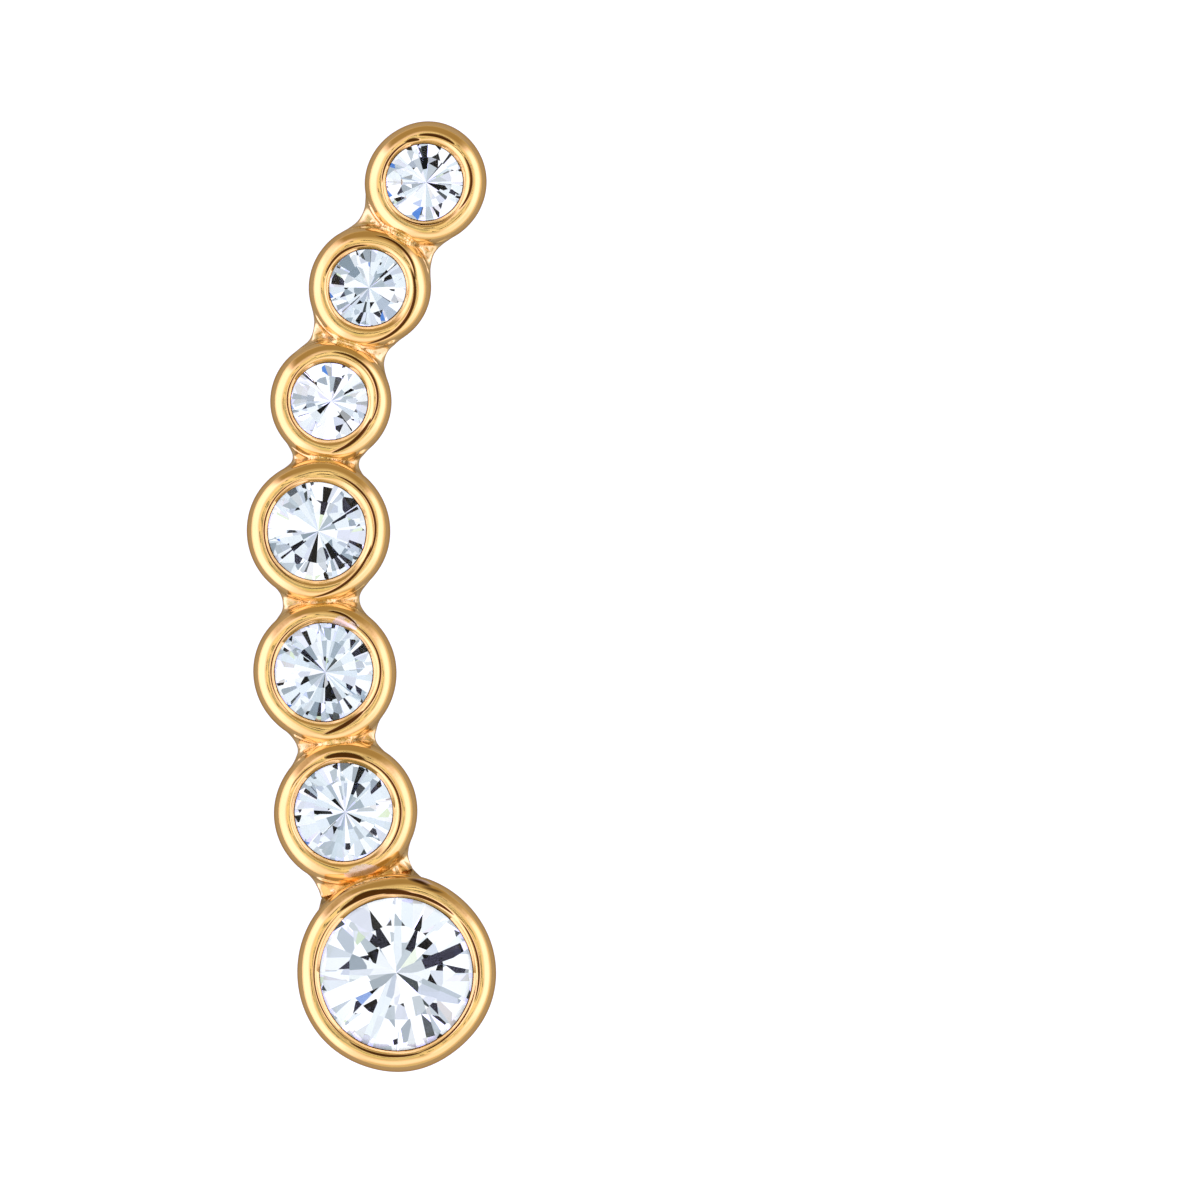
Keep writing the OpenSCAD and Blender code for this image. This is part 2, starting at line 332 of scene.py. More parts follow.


# %% [markdown]
# ## Lines left by the burnisher
# The steel tool that closes a rim leaves a shallow groove along its crest. Its darkness is painted
# shade: a deep brown put into the colour, standing in for the dark reflections and shadow in the
# groove, and on the large rim for a broad dark reflection across the top. On most rims the line is
# strongest on the right and runs out across the roll just before the solder below. Each stroke is
# given by its clock angle in degrees (0 is up the row, 90 to the right) and the distance in from the
# outline. A stroke is a Gaussian dip across, tapered at both ends, and its depth is also stored on
# the points, for the painted shade in it.

# %% Strokes of the burnisher
STROKE_DEPTH, GAP_WIDTH = 0.02, 0.02
STROKES = [  # bezel, clock from and to, distance in at the start and at the end, half width, strength
    (0, -44, 14, 0.33, 0.40, 0.050, 1.0), (0, -32, -6, 0.30, 0.36, 0.045, 1.0),
    (0, -10, 46, 0.41, 0.37, 0.032, 1.0), (0, 50, 112, 0.35, 0.33, 0.022, 0.8),
    (0, 94, 172, 0.39, 0.32, 0.019, 0.7), (0, 160, 216, 0.33, 0.33, 0.026, 0.9),
    (0, 206, 322, 0.35, 0.36, 0.018, 0.6), (0, 6, 23, 0.10, 0.15, 0.055, 0.50),
    (0, 15, 32, 0.19, 0.13, 0.045, 0.42),
    (1, -22, 22, 0.30, 0.34, 0.055, 0.9), (1, 12, 146, 0.35, 0.33, 0.021, 1.0),
    (1, 290, 342, 0.28, 0.36, 0.016, 0.5),
    (2, 2, 36, 0.22, 0.34, 0.022, 0.9), (2, 26, 148, 0.34, 0.37, 0.019, 0.9),
    (2, 134, 182, 0.37, 0.20, 0.042, 1.0), (2, 222, 352, 0.37, 0.34, 0.018, 0.6),
    (3, 14, 132, 0.28, 0.36, 0.023, 1.0), (3, 104, 186, 0.36, 0.10, 0.027, 1.0),
    (3, 192, 346, 0.37, 0.36, 0.018, 0.7),
    (4, 0, 126, 0.25, 0.36, 0.023, 1.0), (4, 112, 180, 0.37, 0.20, 0.036, 1.0),
    (4, 210, 342, 0.38, 0.32, 0.018, 0.6),
    (5, 6, 84, 0.18, 0.32, 0.025, 0.9), (5, 62, 184, 0.33, 0.10, 0.032, 1.0),
    (5, 284, 358, 0.33, 0.40, 0.025, 0.9),
    (6, -10, 38, 0.28, 0.29, 0.029, 1.0), (6, 54, 128, 0.32, 0.39, 0.027, 1.0),
    (6, 148, 220, 0.40, 0.38, 0.017, 0.6), (6, 268, 340, 0.36, 0.35, 0.021, 0.8),
    (6, 332, 352, 0.34, 0.38, 0.036, 0.9),
]


def around_stone(p, s):
    """Clock angle in degrees and distance in from the outline, for points around a stone."""
    x, y = p[:, 0] - s["axis"][0], p[:, 1] - s["axis"][1]
    return np.degrees(np.arctan2(x, y)), s["outer"] - np.hypot(x, y)


def burnish(p, i):
    """How deep each point lies in a stroke, 0 to 1: a Gaussian across, a rounded taper along."""
    clock, inward = around_stone(p, STONES[i])
    mark = np.zeros(len(p))
    for bezel, start, end, in_start, in_end, width, strength in STROKES:
        if bezel == i:
            way = ((clock - start) % 360) / (end - start)
            taper = np.sin(np.pi * way.clip(0, 1)) ** 0.4
            middle = in_start + (in_end - in_start) * way.clip(0, 1) ** 2.2
            across = (inward - middle) / (width * (0.35 + 0.65 * taper))
            mark = np.maximum(mark, strength * taper * np.exp(-across ** 2) * (way < 1))
    return mark * (p[:, 2] > STONES[i]["rim"] - 0.35)


def gap_shadow(p, i):
    """Painted shadow in the gap along the lip's edge: a Gaussian of the distance to the opening."""
    s = STONES[i]
    middle = s["axis"] + OPENING_SHIFT[i]
    away = np.hypot(*(p[:, :2] - middle).T) - s["r"] + LIP_COVER
    clock, _ = around_stone(p, s)
    strength = 0.72 + 0.3 * np.cos(np.radians(clock - 150))
    strength += 0.3 * waves(p[:, 0], p[:, 1], 0 * away, 0.8, 51 + i, 5)
    in_gap = p[:, 2] > s["high"] + LIP_RISE - 0.03
    return strength.clip(0, 1) * np.exp(-(away / GAP_WIDTH) ** 2) * in_gap


# %% [markdown]
# ## From rows of points to a mesh
# Rows that close on themselves make quads with a little index arithmetic: each quad joins a point,
# its neighbour in the row, and the two below. The first and last rows shrink to a single pole, so
# the shell has no hole.

# %% Mesh helpers
def add_object(name, points, faces, smooth=True):
    """A mesh object from points in millimetres and a list or array of faces."""
    mesh = bpy.data.meshes.new(name)
    mesh.from_pydata((np.asarray(points) * MM).tolist(), [], [list(map(int, f)) for f in faces])
    mesh.update()
    mesh.polygons.foreach_set("use_smooth", np.full(len(mesh.polygons), smooth))
    thing = bpy.data.objects.new(name, mesh)
    bpy.context.scene.collection.objects.link(thing)
    return thing


def closed_rows(rows):
    """Points and faces of a shell made of closed rows, with the first and last row merged to poles."""
    count, around = rows.shape[:2]
    points = np.concatenate([rows[0].mean(0)[None], rows[1:-1].reshape(-1, 3), rows[-1].mean(0)[None]])
    k = np.arange(around)
    n = (k + 1) % around
    row = 1 + np.arange(count - 3)[:, None] * around
    quads = np.stack([row + k, row + n, row + around + n, row + around + k], -1).reshape(-1, 4)
    last = 1 + (count - 3) * around
    first_fan = np.stack([0 * k, 1 + n, 1 + k], -1)
    last_fan = np.stack([last + k, last + n, 0 * k + len(points) - 1], -1)
    return points, [*quads, *first_fan, *last_fan]


def face_outwards(thing):
    """Turns the whole shell round if its signed volume is negative."""
    mesh = thing.data
    mesh.calc_loop_triangles()
    co = np.empty(len(mesh.vertices) * 3)
    mesh.vertices.foreach_get("co", co)
    tri = np.empty(len(mesh.loop_triangles) * 3, int)
    mesh.loop_triangles.foreach_get("vertices", tri)
    a, b, c = co.reshape(-1, 3)[tri.reshape(-1, 3)].transpose(1, 0, 2)
    volume = np.einsum("ij,ij->", a, np.cross(b, c)) / 6
    if volume < 0:
        mesh.flip_normals()
    return abs(volume) / MM ** 3


# %% Build the seven bezels
AROUND_LARGE, AROUND_SMALL = 300, 252  # points in each row
bezels, groove_shades = [], []
for i, s in enumerate(STONES):
    angle = np.linspace(0, 2 * np.pi, AROUND_SMALL if i else AROUND_LARGE, endpoint=False)[None]
    inner = inner_skin(i, angle)[::-1]
    outer = outer_skin(i, angle)
    ring = s["outer"] - SHOULDER - 0.15
    back_r = np.array([ring, ring * 0.5, 0])[:, None] + 0 * angle
    back = np.stack([s["axis"][0] + back_r * np.cos(angle), s["axis"][1] + back_r * np.sin(angle),
                     0 * back_r + BACK], -1)
    points, faces = closed_rows(np.concatenate([inner[:-1], outer, back]))
    mark = burnish(points, i)
    points[:, 2] -= STROKE_DEPTH * mark
    bezel = add_object(f"bezel_{i + 1}", points, faces)
    volume = face_outwards(bezel)
    bezels.append(bezel)
    # The painted shadow along the lip's edge joins the painted shade of the grooves.
    mark = np.maximum(mark, gap_shadow(points, i))
    groove_shades.append(mark)
    print(f"bezel {i + 1}: {len(points)} points, {volume:.1f} mm3 of gold, rim at {s['rim']:.2f} mm")

# %% [markdown]
# ## The pin behind
# The pin is one piece of round wire: a straight end that the ear slides over, two bends that follow
# the row, and an elbow that rises to the back of the large bezel. Its path is made of straight
# stretches and arcs, so it is worked out from their lengths: every millimetre of path turns the
# heading by the same angle within one arc. A circle carried along that path gives the wire.

# %% Path of the wire
STRAIGHT, LINK, ELBOW_R = 3.0, 0.5, 1.1
UPPER_R, UPPER_TURN = 12.4, np.radians(22.5)
LOWER_R, LOWER_TURN = 24.6, np.radians(17.5)


def pin_path(step=0.08):
    """Points, headings and sideways directions of the wire, from the middle stretch both ways.

    Over an arc of radius R the heading turns by length / R; summing the headings gives the points."""
    middle = STONES[3]["axis"]
    half = LINK / 2
    up = [(half, 0), (UPPER_R * UPPER_TURN, 1 / UPPER_R), (STRAIGHT, 0)]
    down = [(half, 0), (LOWER_R * LOWER_TURN, 1 / LOWER_R), (LINK, 0)]

    def run(stretches):
        length = sum(l for l, _ in stretches)
        s = np.linspace(0, length, int(length / step))
        ends = np.cumsum([l for l, _ in stretches])
        bend = np.array([c for _, c in stretches])
        starts = ends - [l for l, _ in stretches]
        turned = sum(c * np.clip(s - a, 0, b - a) for c, a, b in zip(bend, starts, ends))
        mid = (turned[1:] + turned[:-1]) / 2
        gap = np.diff(s)
        x = np.concatenate([[0], np.cumsum(np.sin(mid) * gap)])
        y = np.concatenate([[0], np.cumsum(np.cos(mid) * gap)])
        return x, y, turned

    x, y, turned = run(up)
    upper = np.stack([middle[0] + x, middle[1] + y, 0 * x + PIN_R], -1)[::-1]
    upper_side = np.stack([np.cos(turned), -np.sin(turned), 0 * x], -1)[::-1]
    x, y, turned = run(down)
    lower = np.stack([middle[0] + x, middle[1] - y, 0 * x + PIN_R], -1)
    lower_side = np.stack([np.cos(turned), np.sin(turned), 0 * x], -1)
    way = np.array([np.sin(turned[-1]), -np.cos(turned[-1]), 0])
    a = np.linspace(0, np.pi / 2, 24)[1:, None]
    elbow = lower[-1] + ELBOW_R * (np.sin(a) * way + (1 - np.cos(a)) * [0, 0, 1])
    rise = np.linspace(elbow[-1, 2], BACK + 0.25, 30)[1:, None]
    post = np.concatenate([0 * rise + elbow[-1, :2], rise], -1)
    path = np.concatenate([upper, lower[1:], elbow, post])
    side = np.concatenate([upper_side, lower_side[1:], np.repeat(lower_side[-1:], len(a) + len(rise), 0)])
    return path, side


def tube(path, side, radius, around=48):
    """Circles of the given radii along a path: each point is centre + r (cos a side + sin a lift)."""
    heading = np.gradient(path, axis=0)
    heading /= np.linalg.norm(heading, axis=1)[:, None]
    lift = np.cross(side, heading)
    a = np.linspace(0, 2 * np.pi, around, endpoint=False)[None, :, None]
    return path[:, None] + radius[:, None, None] * (np.cos(a) * side[:, None] + np.sin(a) * lift[:, None])


# %% Build the pin with its rounded tip and its solder root
ROOT_HEIGHT, ROOT_FLARE = 0.32, 0.33
path, side = pin_path()
tip = np.radians(np.linspace(88, 0, 10))[:-1]
tip_way = (path[0] - path[1]) / np.linalg.norm(path[0] - path[1])
path = np.concatenate([path[0] + PIN_R * np.sin(tip)[:, None] * tip_way, path])
side = np.concatenate([np.repeat(side[:1], len(tip), 0), side])
radius = np.full(len(path), PIN_R)
radius[:len(tip)] = PIN_R * np.cos(tip)
root = np.clip((path[:, 2] - (BACK - ROOT_HEIGHT)) / ROOT_HEIGHT, 0, 1)
radius += ROOT_FLARE * root ** 2.6 * (1 + 0.08 * np.sin(9 * root))
rows = tube(path, side, radius)
points, faces = closed_rows(np.concatenate([rows[:1], rows, rows[-1:]]))
pin = add_object("ear_pin", points, faces)
volume = face_outwards(pin)
print(f"ear pin: {len(points)} points, {volume:.1f} mm3, tip at {path[0].round(2)} mm, "
      f"root at {path[-1].round(2)} mm")

# %% [markdown]
# ## Cut stones
# A cutter makes a stone by holding a block against a flat wheel, one facet after another: each
# facet is a plane, and everything outside it is ground away. The same is done here. The large
# stone has eight mains below its edge and shows broad kites; the small ones have more and
# narrower mains, which show as needles that run from the middle to the edge. Cheap stones are cut
# quickly, so every facet leans a little off its angle, and that makes the sparkle irregular. The
# real stone carries a mirror foil below its edge, so the facets there get the foil and the others
# stay clear.

# %% Cut a block with planes
INSIDE, SAME_CORNER, ON_PLANE = 1e-7, 1e-5, 1e-5  # millimetres
PARALLEL = 1e-7                        # three normals that span less than this have no meeting point


def facet(slope, bearing, through, up=1):
    """A plane as its outward normal and its distance from the origin.

    The normal leans by slope from the vertical towards the bearing; the plane holds a given point."""
    n = np.array([np.sin(slope) * np.cos(bearing), np.sin(slope) * np.sin(bearing), up * np.cos(slope)])
    return [*n, n @ through]


def cut_block(planes):
    """Corners and facets of the block inside all planes, and the plane of each facet.

    Three planes with normals a, b, c and distances d, e, f meet where
    (d b×c + e c×a + f a×b) / (a · b×c). Meeting points outside any plane are ground away."""
    n, d = planes[:, :3], planes[:, 3:]
    i, j, k = np.array(list(combinations(range(len(n)), 3))).T
    bc, ca, ab = np.cross(n[j], n[k]), np.cross(n[k], n[i]), np.cross(n[i], n[j])
    volume = (n[i] * bc).sum(1)[:, None]
    meets = abs(volume[:, 0]) > PARALLEL
    p = ((d[i] * bc + d[j] * ca + d[k] * ab)[meets]) / volume[meets]
    p = p[(p @ n.T < d.T + INSIDE).all(1)]
    close = np.linalg.norm(p[:, None] - p[None], axis=2) < SAME_CORNER
    p = p[np.unique(close.argmax(1))]
    facets, of_plane = [], []
    for which, (normal, distance) in enumerate(zip(n, d[:, 0])):
        on = np.flatnonzero(abs(p @ normal - distance) < ON_PLANE)
        if len(on) > 2:
            across = np.cross(normal, [0.3, 0.5, 0.8])
            from_middle = p[on] - p[on].mean(0)
            turn = np.arctan2(from_middle @ np.cross(normal, across), from_middle @ across)
            facets.append(on[turn.argsort()])
            of_plane.append(which)
    return p, facets, of_plane


# %% [markdown]
# ## The angles of each stone
# The table and the point keep the heights of the solid. The crown has eight kites, sixteen small
# facets above the edge and eight stars beside the table. Each stone has its own seed, so no two
# of the row sparkle alike, just as in the photograph.

# %% Plan and cut the stones
KITE, STAR = np.radians([33, 22.5])
EDGE_SIDES = 24
CUTS = [  # mains below the edge, slope of the small facets above it, looseness, how much steeper
    # the halves are than the mains (all in degrees; None leaves the halves out), where the halves
    # meet the edge, turn, seed
    (8, 43.5, 0.4, 1.2, 0.981, 0, 45), (24, 39, 0.7, None, 1, 5, 12), (22, 39, 0.7, None, 1, 10, 24),
    (24, 39, 0.7, None, 1, 11, 32), (20, 39, 0.7, None, 1, 15, 43), (24, 39, 0.7, None, 1, 19, 54),
    (22, 39, 0.7, None, 1, 22, 64)]


def plan_facets(s, mains, upper, loose, steeper, inset, turn, seed):
    """Planes of a stone around its own middle, with a 1 beside each that lies below the edge."""
    rng = np.random.default_rng(seed)
    r, t = s["r"], np.radians(turn)
    table, point, edge = s["table"] - s["low"], s["point"] - s["low"], s["high"] - s["low"]

    def lean():
        return rng.normal() * np.radians(loose)

    def at(radius, bearing, z):
        return np.array([radius * np.cos(bearing), radius * np.sin(bearing), z])

    planes, below = [facet(0, 0, at(0, 0, table))], [0]
    for a in t + np.pi / 8 + np.arange(8) * np.pi / 4:
        planes.append(facet(KITE + lean(), a + lean(), at(0.995 * r, a, edge)))
        for b in (a - np.pi / 16, a + np.pi / 16):
            planes.append(facet(np.radians(upper) + lean(), b + lean(), at(0.985 * r, b, edge)))
        b = a + np.pi / 8
        planes.append(facet(STAR + lean(), b + lean(), at(0.985 * s["table_r"], b, table)))
        below += [0, 0, 0, 0]
    for b in t + np.arange(EDGE_SIDES) * 2 * np.pi / EDGE_SIDES:
        planes.append(facet(np.pi / 2, b, at(r, b, 0)))
        below.append(0)
    main = np.arctan2(-point, r)
    for a in t + (0.5 + np.arange(mains)) * 2 * np.pi / mains:
        planes.append(facet(main + lean(), a + lean(), at(0, 0, point), -1))
        halves = () if steeper is None else (a - np.pi / mains / 2, a + np.pi / mains / 2)
        for b in halves:
            planes.append(facet(main + np.radians(steeper) + lean(), b + lean(), at(inset * r, b, 0), -1))
        below += [1] * (1 + len(halves))
    return np.array(planes), np.array(below)


stones = []
for n, (s, cut) in enumerate(zip(STONES, CUTS), 1):
    planes, below = plan_facets(s, *cut)
    corners, facets, of_plane = cut_block(planes)
    corners = corners + [*s["axis"], s["low"]]
    stone = add_object(f"cut_stone_{n}", corners, facets, smooth=False)
    stone.data.polygons.foreach_set("material_index", below[of_plane])
    # Every facet points away from the stone's own middle
    heart = np.append(s["axis"], s["low"]) * MM
    centres = np.array([f.center for f in stone.data.polygons])
    normals = np.array([f.normal for f in stone.data.polygons])
    inwards = np.flatnonzero(((centres - heart) * normals).sum(1) < 0)
    for f in inwards:
        stone.data.polygons[int(f)].flip()
    stone.data.update()
    stones.append(stone)
    open_edges = len(stone.data.edges) + 2 - len(stone.data.vertices) - len(stone.data.polygons)
    print(f"cut stone {n}: {len(facets)} facets, {len(corners)} corners, "
          f"{open_edges} edges too many, top at {corners[:, 2].max():.3f} mm")

# %% [markdown]
# ## Polished yellow gold
# Metal has no colour of its own under light other than that of its reflections, so the base colour
# is the tint of a mirror image in gold. Real plating is never one value: the tone drifts a little,
# fine polishing marks break the gloss, and the solder is warmer, rougher and rippled. A value
# painted on the points of each bezel says where the solder is, and another where the plating is
# worn to a pale pinkish grey. In a narrow crease light strikes the gold many times, and each time
# tints it again, more than on the real plating. So gold seen in gold gets a paler tint.

# %% Node helpers
def node_adder(tree):
    """A function that adds a node to a tree and links or sets its inputs."""
    def add(kind, inputs=(), **settings):
        node = tree.nodes.new(kind)
        for key, value in settings.items():
            setattr(node, key, value)
        for socket, value in dict(inputs).items():
            if isinstance(value, bpy.types.NodeSocket):
                tree.links.new(value, node.inputs[socket])
            else:
                node.inputs[socket].default_value = value
        return node

    return add


def new_material(name):
    """A material with its Principled shader, its node tree and the function that adds nodes to it."""
    material = bpy.data.materials.new(name)
    material.use_nodes = True
    tree = material.node_tree
    return material, tree.nodes["Principled BSDF"], tree, node_adder(tree)


def painted_value(add, attribute):
    """The number that is stored on the points or facets of a mesh under the given name."""
    return add("ShaderNodeAttribute", attribute_name=attribute).outputs["Fac"]


def drift(add, where, scale, detail=2.0):
    """Soft noise between 0 and 1 in Object coordinates, so many waves a metre."""
    return add("ShaderNodeTexNoise", {"Vector": where, "Scale": scale, "Detail": detail}).outputs["Fac"]


def between(add, value, low, high, to_low=0.0, to_high=1.0):
    """Maps a value smoothly from one range to another."""
    return add("ShaderNodeMapRange", {"Value": value, "From Min": low, "From Max": high, "To Min": to_low,
                                      "To Max": to_high}, interpolation_type="SMOOTHSTEP").outputs["Result"]


def blend_colour(add, how_much, a, b):
    """A colour between a and b; the Mix node keeps its colours on sockets 6 and 7 and its result on 2."""
    return add("ShaderNodeMix", {0: how_much, 6: a, 7: b}, data_type="RGBA").outputs[2]


# %% Gold
GOLD = (0.86, 0.55, 0.185, 1)
WARM_GOLD = (0.80, 0.465, 0.12, 1)
SOLDER = (0.82, 0.57, 0.23, 1)
WORN = (0.84, 0.62, 0.44, 1)
# painted shade: the deep brown that darkens the burnisher's grooves and the gap along the lip
GROOVE_SHADE = (0.085, 0.028, 0.004, 1)
EDGE_TINT = (0.72, 0.58, 0.42, 1)      # polished plating stays golden where it is seen at a glance
GLOSSY, RIPPLED, SCUFFED = 0.09, 0.22, 0.2  # roughness of polish and of solder, and what wear adds
TWICE_SEEN = (0.90, 0.72, 0.42, 1)     # gold that is itself seen in gold


def polished_gold(name, painted):
    """Polished plating whose tone, gloss and grain follow soft noise and, on a bezel, its painted values."""
    material, shader, tree, add = new_material(name)
    where = add("ShaderNodeTexCoord").outputs["Object"]
    tone = between(add, drift(add, where, 900), 0.35, 0.7, 0.0, 0.3)

    def combine(operation, a, b):
        return add("ShaderNodeMath", {0: a, 1: b}, operation=operation).outputs[0]

    if painted:
        solder, worn, groove_shade = (painted_value(add, value) for value in ("solder", "worn", "groove_shade"))
        colour = blend_colour(add, solder, blend_colour(add, tone, GOLD, WARM_GOLD), SOLDER)
        flakes = between(add, drift(add, where, 6500, 3), 0.30, 0.46)
        bare = combine("MULTIPLY", worn, flakes)
        colour = blend_colour(add, bare, colour, WORN)
        # Painted shade: where the bezel's painted value is high, the gold turns deep brown in the grooves
        # and along the lip's gap.
        dark = between(add, groove_shade, 0.12, 0.5)
        colour = blend_colour(add, dark, colour, GROOVE_SHADE)
        rough = between(add, solder, 0, 1, GLOSSY, RIPPLED)
        rough = combine("ADD", rough, combine("MULTIPLY", combine("MAXIMUM", bare, dark), SCUFFED))
    else:
        colour = blend_colour(add, tone, GOLD, WARM_GOLD)
        rough = between(add, drift(add, where, 1500), 0.3, 0.7, GLOSSY, 0.16)
    in_a_mirror = add("ShaderNodeLightPath").outputs["Is Glossy Ray"]
    colour = blend_colour(add, combine("MULTIPLY", in_a_mirror, 0.85), colour, TWICE_SEEN)
    tree.links.new(colour, shader.inputs["Base Color"])
    tree.links.new(rough, shader.inputs["Roughness"])
    shader.inputs["Metallic"].default_value = 1
    shader.inputs["Specular Tint"].default_value = EDGE_TINT
    marks = drift(add, where, 9000, 6)
    bump = add("ShaderNodeBump", {"Height": marks, "Strength": 0.12, "Distance": 0.00001})
    tree.links.new(bump.outputs["Normal"], shader.inputs["Normal"])
    return material


# %% [markdown]
# ## Where the solder, the wear and the painted shade are
# Three numbers are stored on every point of a bezel: how much it is solder, how worn its plating
# is, and how much painted shade it carries, from the depth of a stroke and the shadow along the lip.
# A worn patch is given like a stroke, by its clock angles and its distances in from the outline.
# It is an oval whose edge is frayed by a wave.

# %% Paint the bezels
WORN_PATCHES = [(1, 147, 181, 0.14, 0.40), (2, 5, 33, 0.25, 0.46), (0, 12, 21, 0.04, 0.13)]


def paint(thing, name, values, on="POINT"):
    """Stores one number for each point, or each facet, of a mesh under the given name."""
    thing.data.attributes.new(name, "FLOAT", on).data.foreach_set("value", values.astype(np.float32))


def worn_plating(p, i):
    """1 inside a patch and 0 outside: an oval in clock angle and distance, frayed by two waves."""
    clock, inward = around_stone(p, STONES[i])
    worn = np.zeros(len(p))
    fray = 0.30 * waves(*p.T, 0.30, 33, 5) + 0.14 * waves(*p.T, 0.09, 34, 5)
    for bezel, start, end, low, high in WORN_PATCHES:
        if bezel == i:
            along = ((clock - (start + end) / 2 + 180) % 360 - 180) / ((end - start) / 2)
            across = (inward - (low + high) / 2) / ((high - low) / 2)
            worn = np.maximum(worn, 1 - soft_step(np.hypot(along, across) + fray, 0.92, 1.06))
    return worn * (p[:, 2] > STONES[i]["rim"] - 0.3)


bezel_gold = polished_gold("bezel_gold", True)
for i, (bezel, mark) in enumerate(zip(bezels, groove_shades)):
    p = points_of(bezel)
    near = np.full(len(p), FAR)
    for j in neighbours(i):
        near = np.minimum(near, neck_distance(*p.T, min(i, j)))
    low = 1 - soft_step(p[:, 2], STONES[i]["rim"] - 0.28, STONES[i]["rim"] - 0.1)
    paint(bezel, "solder", (1 - soft_step(near, 0.01, 0.06)) * low)
    paint(bezel, "worn", worn_plating(p, i))
    # painted shade: darkens the grooves and the gap along the lip
    paint(bezel, "groove_shade", mark)
    bezel.data.materials.append(bezel_gold)
    print(f"bezel {i + 1}: {(near < 0.02).sum()} points on solder, {(mark > 0.3).sum()} in strokes")
pin.data.materials.append(polished_gold("pin_gold", False))

# %% [markdown]
# ## Glass over a mirror
# The crown is clear crystal: light enters through it, strikes the foil under the lower facets and
# comes out again through another facet. Only real refraction gives the sharp white and grey
# splinters of a cut stone, so the crown is glass with the index of crystal and the foil is a
# silver mirror. Some of its facets are duller than others, and it darkens along the edge of the
# stone, where the lip keeps the light away. How far out a point lies is stored on the corners of
# each stone, and how dull a facet is, on the facet.

# %% Crystal and foil
CRYSTAL_IOR = 1.57
WEAK_GLOSS = (0.4, 0.4, 0.4, 1)


def crystal_material():
    """Clear glass with the refractive index of crystal; its weak outer gloss keeps the splinters dark."""
    material, shader, *_ = new_material("clear_crystal")
    shader.inputs["Base Color"].default_value = (1, 1, 1, 1)
    shader.inputs["Transmission Weight"].default_value = 1
    shader.inputs["IOR"].default_value = CRYSTAL_IOR
    shader.inputs["Specular Tint"].default_value = WEAK_GLOSS
    shader.inputs["Roughness"].default_value = 0
    return material


BRIGHT_FOIL, DULL_FOIL = (1, 1, 1, 1), (0.66, 0.73, 0.77, 1)
FOIL_EDGE = (0.03, 0.03, 0.035, 1)
RING_FROM, RING_TO, RING_DARK = 0.80, 0.97, 0.75  # shares of the radius, and how dark the ring gets


def foil_material():
    """A silver mirror, duller on some facets than on others and dark in a ring along the stone's edge."""
    material, shader, tree, add = new_material("mirror_foil")
    tone = blend_colour(add, painted_value(add, "dull"), BRIGHT_FOIL, DULL_FOIL)
    edge = between(add, painted_value(add, "outward"), RING_FROM, RING_TO, 0, RING_DARK)
    tone = blend_colour(add, edge, tone, FOIL_EDGE)
    tree.links.new(tone, shader.inputs["Base Color"])
    shader.inputs["Metallic"].default_value = 1
    shader.inputs["Roughness"].default_value = 0
    return material


crystal, foil = crystal_material(), foil_material()
for n, (stone, s) in enumerate(zip(stones, STONES)):
    stone.data.materials.append(crystal)
    stone.data.materials.append(foil)
    paint(stone, "outward", np.hypot(*(points_of(stone)[:, :2] - s["axis"]).T) / s["r"])
    dull = np.random.default_rng(300 + n).uniform(0, 1, len(stone.data.polygons)) ** 2
    paint(stone, "dull", dull, on="FACE")
    print(f"cut stone {n + 1}: dullness {dull.min():.2f} to {dull.max():.2f}, {dull.mean():.2f} on average")

# %% [markdown]
# ## A bright tent with a few dark gaps
# Jewellery is photographed inside a white tent. What makes a rim look round is the difference
# between the lamps at the tent's sides and its dimmer ends, and what makes a stone sparkle is the
# dark gap where the camera looks in, with the seams and poles around it. The surroundings are a
# function of direction. A gap is a soft disc round one direction, found from the cosine between
# that direction and the ray; a lamp is a panel, found from the ray's bearing and height. Past the
# table the camera itself sees plain white, because only the jewel should mirror the tent.

# %% Surroundings
world = bpy.data.worlds.new("tent")
bpy.context.scene.world = world
world.use_nodes = True
sky = world.node_tree
sky_node = node_adder(sky)


def times(a, b):
    """The product of two values in the surroundings."""
    return sky_node("ShaderNodeMath", {0: a, 1: b}, operation="MULTIPLY").outputs[0]


ray = sky_node("ShaderNodeTexCoord").outputs["Generated"]
ray = sky_node("ShaderNodeVectorMath", {0: ray}, operation="NORMALIZE").outputs[0]
level = sky_node("ShaderNodeVectorMath", {0: ray, 1: (1, 1, 0)}, operation="MULTIPLY").outputs[0]
level = sky_node("ShaderNodeVectorMath", {0: level}, operation="NORMALIZE").outputs[0]
height = sky_node("ShaderNodeSeparateXYZ", {0: ray}).outputs["Z"]


def disc(azimuth, from_top, size, soft):
    """1 within size degrees of a direction, falling to 0 over soft degrees more."""
    a, t = np.radians([azimuth, from_top])
    aim_at = (np.sin(t) * np.cos(a), np.sin(t) * np.sin(a), np.cos(t))
    cosine = sky_node("ShaderNodeVectorMath", {0: ray, 1: aim_at}, operation="DOT_PRODUCT").outputs["Value"]
    inner, outer = np.cos(np.radians([size, size + soft]))
    return between(sky_node, cosine, outer, inner)


def panel(azimuth, half_width, width_soft, top, bottom, soft):
    """1 inside a panel between two bearings and two heights, with soft edges, all in degrees."""
    a = np.radians(azimuth)
    aside = sky_node("ShaderNodeVectorMath", {0: level, 1: (np.cos(a), np.sin(a), 0)},
                     operation="DOT_PRODUCT").outputs["Value"]
    inner, outer = np.cos(np.radians([half_width, half_width + width_soft]))
    high_end, high = np.cos(np.radians([top - soft, top + soft]))
    low, low_end = np.cos(np.radians([bottom - soft, bottom + soft]))
    tall = times(between(sky_node, height, high_end, high), between(sky_node, height, low_end, low))
    return times(between(sky_node, aside, outer, inner), tall)


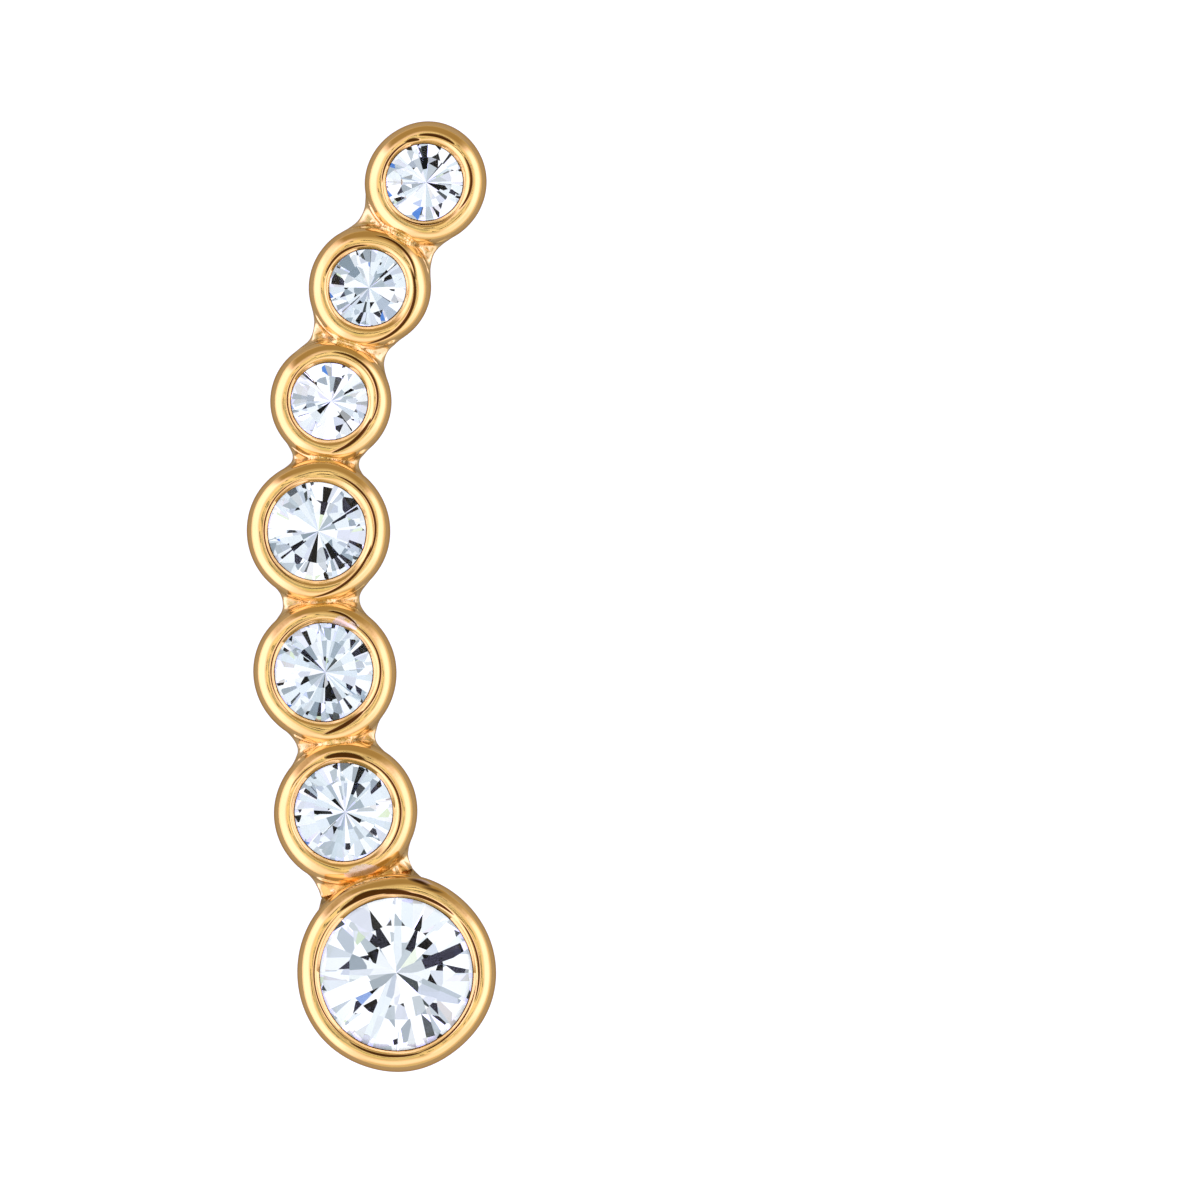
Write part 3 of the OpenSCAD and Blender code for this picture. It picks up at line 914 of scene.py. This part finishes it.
TENT = (0.83, 0.81, 0.83, 1)
CEILING = (1.20, 1.22, 1.27, 1)
LAMP = (1.95, 1.86, 3.2, 1)
SOFT_LAMP = (1.5, 1.42, 2.1, 1)
BLACK = (0.015, 0.015, 0.015, 1)
SHADE = (0.10, 0.115, 0.12, 1)
MIST = (0.62, 0.68, 0.74, 1)
DUSK = (0.42, 0.48, 0.54, 1)
SPRING = (0.82, 0.94, 0.70, 1)
LILAC = (0.78, 0.82, 0.94, 1)
BLUE = (0.10, 0.28, 0.80, 1)
WARM_SHADE = (0.46, 0.38, 0.27, 1)
WHITE = (1, 1, 1, 1)
PANELS = [  # azimuth, half width, softness, top, bottom, softness, colour
    (178, 50, 34, 30, 85, 13, LAMP),
    (-8, 34, 30, 30, 72, 12, LAMP),
    (-72, 26, 30, 42, 70, 9, SOFT_LAMP),
    (90, 32, 26, 38, 90, 12, WARM_SHADE),
]
DISCS = [  # azimuth, degrees from the top, size, softness, colour
    (0, 0, 22, 10, CEILING),
    (240, 13, 5, 3, MIST), (60, 19, 5, 3, LILAC), (330, 8, 3, 2, LILAC), (150, 7, 2.6, 1.6, DUSK),
    (20, 16, 3, 1.6, DUSK), (262, 22, 3, 1.6, SPRING), (335, 24, 3.4, 2, MIST), (200, 16, 3.4, 2, MIST),
    (80, 2.5, 3.0, 0.8, BLACK), (35, 12, 2.6, 0.4, BLACK), (150, 15, 2.6, 0.4, BLACK),
    (268, 11, 2.6, 0.4, BLACK), (222, 20, 2.6, 0.4, SHADE), (310, 19, 2.6, 0.4, BLACK),
    (85, 21, 2.6, 0.4, BLACK), (120, 25, 2.6, 0.4, SHADE), (196, 9, 1.8, 0.4, BLUE),
    (0, 23, 2.6, 0.4, SHADE), (185, 24, 2.4, 0.4, BLACK), (285, 26, 2.4, 0.4, BLACK),
    (55, 28, 2.4, 0.4, BLACK),
]
shade = TENT
for *shape, colour in PANELS:
    shade = blend_colour(sky_node, panel(*shape), shade, colour)
for *shape, colour in DISCS:
    shade = blend_colour(sky_node, disc(*shape), shade, colour)
background = sky.nodes["Background"]
seen_directly = sky_node("ShaderNodeLightPath").outputs["Is Camera Ray"]
sky.links.new(blend_colour(sky_node, seen_directly, shade, WHITE), background.inputs["Color"])
background.inputs["Strength"].default_value = 1.0
print(f"surroundings: {len(PANELS)} panels, {len(DISCS)} discs, {len(sky.nodes)} nodes")

# %% [markdown]
# ## The floor
# The jewel lies on its pin on a white table. The table is lit to pure white, as in the photograph,
# and keeps only a trace of shading, so that it still looks like a surface from the side. In the
# polished walls it is reflected dimmer, because the lamps stand too high to light it evenly; a
# Light Path node tells the two apart. The table is only part of the stage.

# %% White table
WHITE_TO_CAMERA, WHITE_IN_GOLD = 0.85, 0.15
HALF_TABLE = 400                       # millimetres
table_mesh = bpy.data.meshes.new("white_table")
corners = [(x * HALF_TABLE * MM, y * HALF_TABLE * MM, 0) for x, y in ((-1, -1), (1, -1), (1, 1), (-1, 1))]
table_mesh.from_pydata(corners, [], [(0, 1, 2, 3)])
white_table = bpy.data.objects.new("white_table", table_mesh)
bpy.context.scene.collection.objects.link(white_table)
material, shader, tree, add = new_material("lit_table")
shader.inputs["Base Color"].default_value = (0.3, 0.3, 0.3, 1)
shader.inputs["Roughness"].default_value = 1
shader.inputs["Specular IOR Level"].default_value = 0
shader.inputs["Emission Color"].default_value = WHITE
mirrored = add("ShaderNodeLightPath").outputs["Is Glossy Ray"]
glow = between(add, mirrored, 0, 1, WHITE_TO_CAMERA, WHITE_IN_GOLD)
tree.links.new(glow, shader.inputs["Emission Strength"])
table_mesh.materials.append(material)

# %% [markdown]
# ## Fastening everything to the frame
# The gold pieces stand for the one soldered solid, and each cut stone for its own. None of them
# moves, so all ride on the row's only body. Two settings of the picture matter for stones: rays
# must be allowed to bounce often inside the glass, and colours are shown as they are measured.

# %% Ride, replace and finish
for piece in [*bezels, pin]:
    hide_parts("setting")
    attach(piece, "root")
for n, stone in enumerate(stones, 1):
    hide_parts(f"stone_{n}")
    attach(stone, "root")

scene = bpy.context.scene
scene.view_settings.view_transform = "Standard"
scene.cycles.max_bounces = 14
scene.cycles.diffuse_bounces = 0
scene.cycles.glossy_bounces = 10
scene.cycles.transmission_bounces = 10
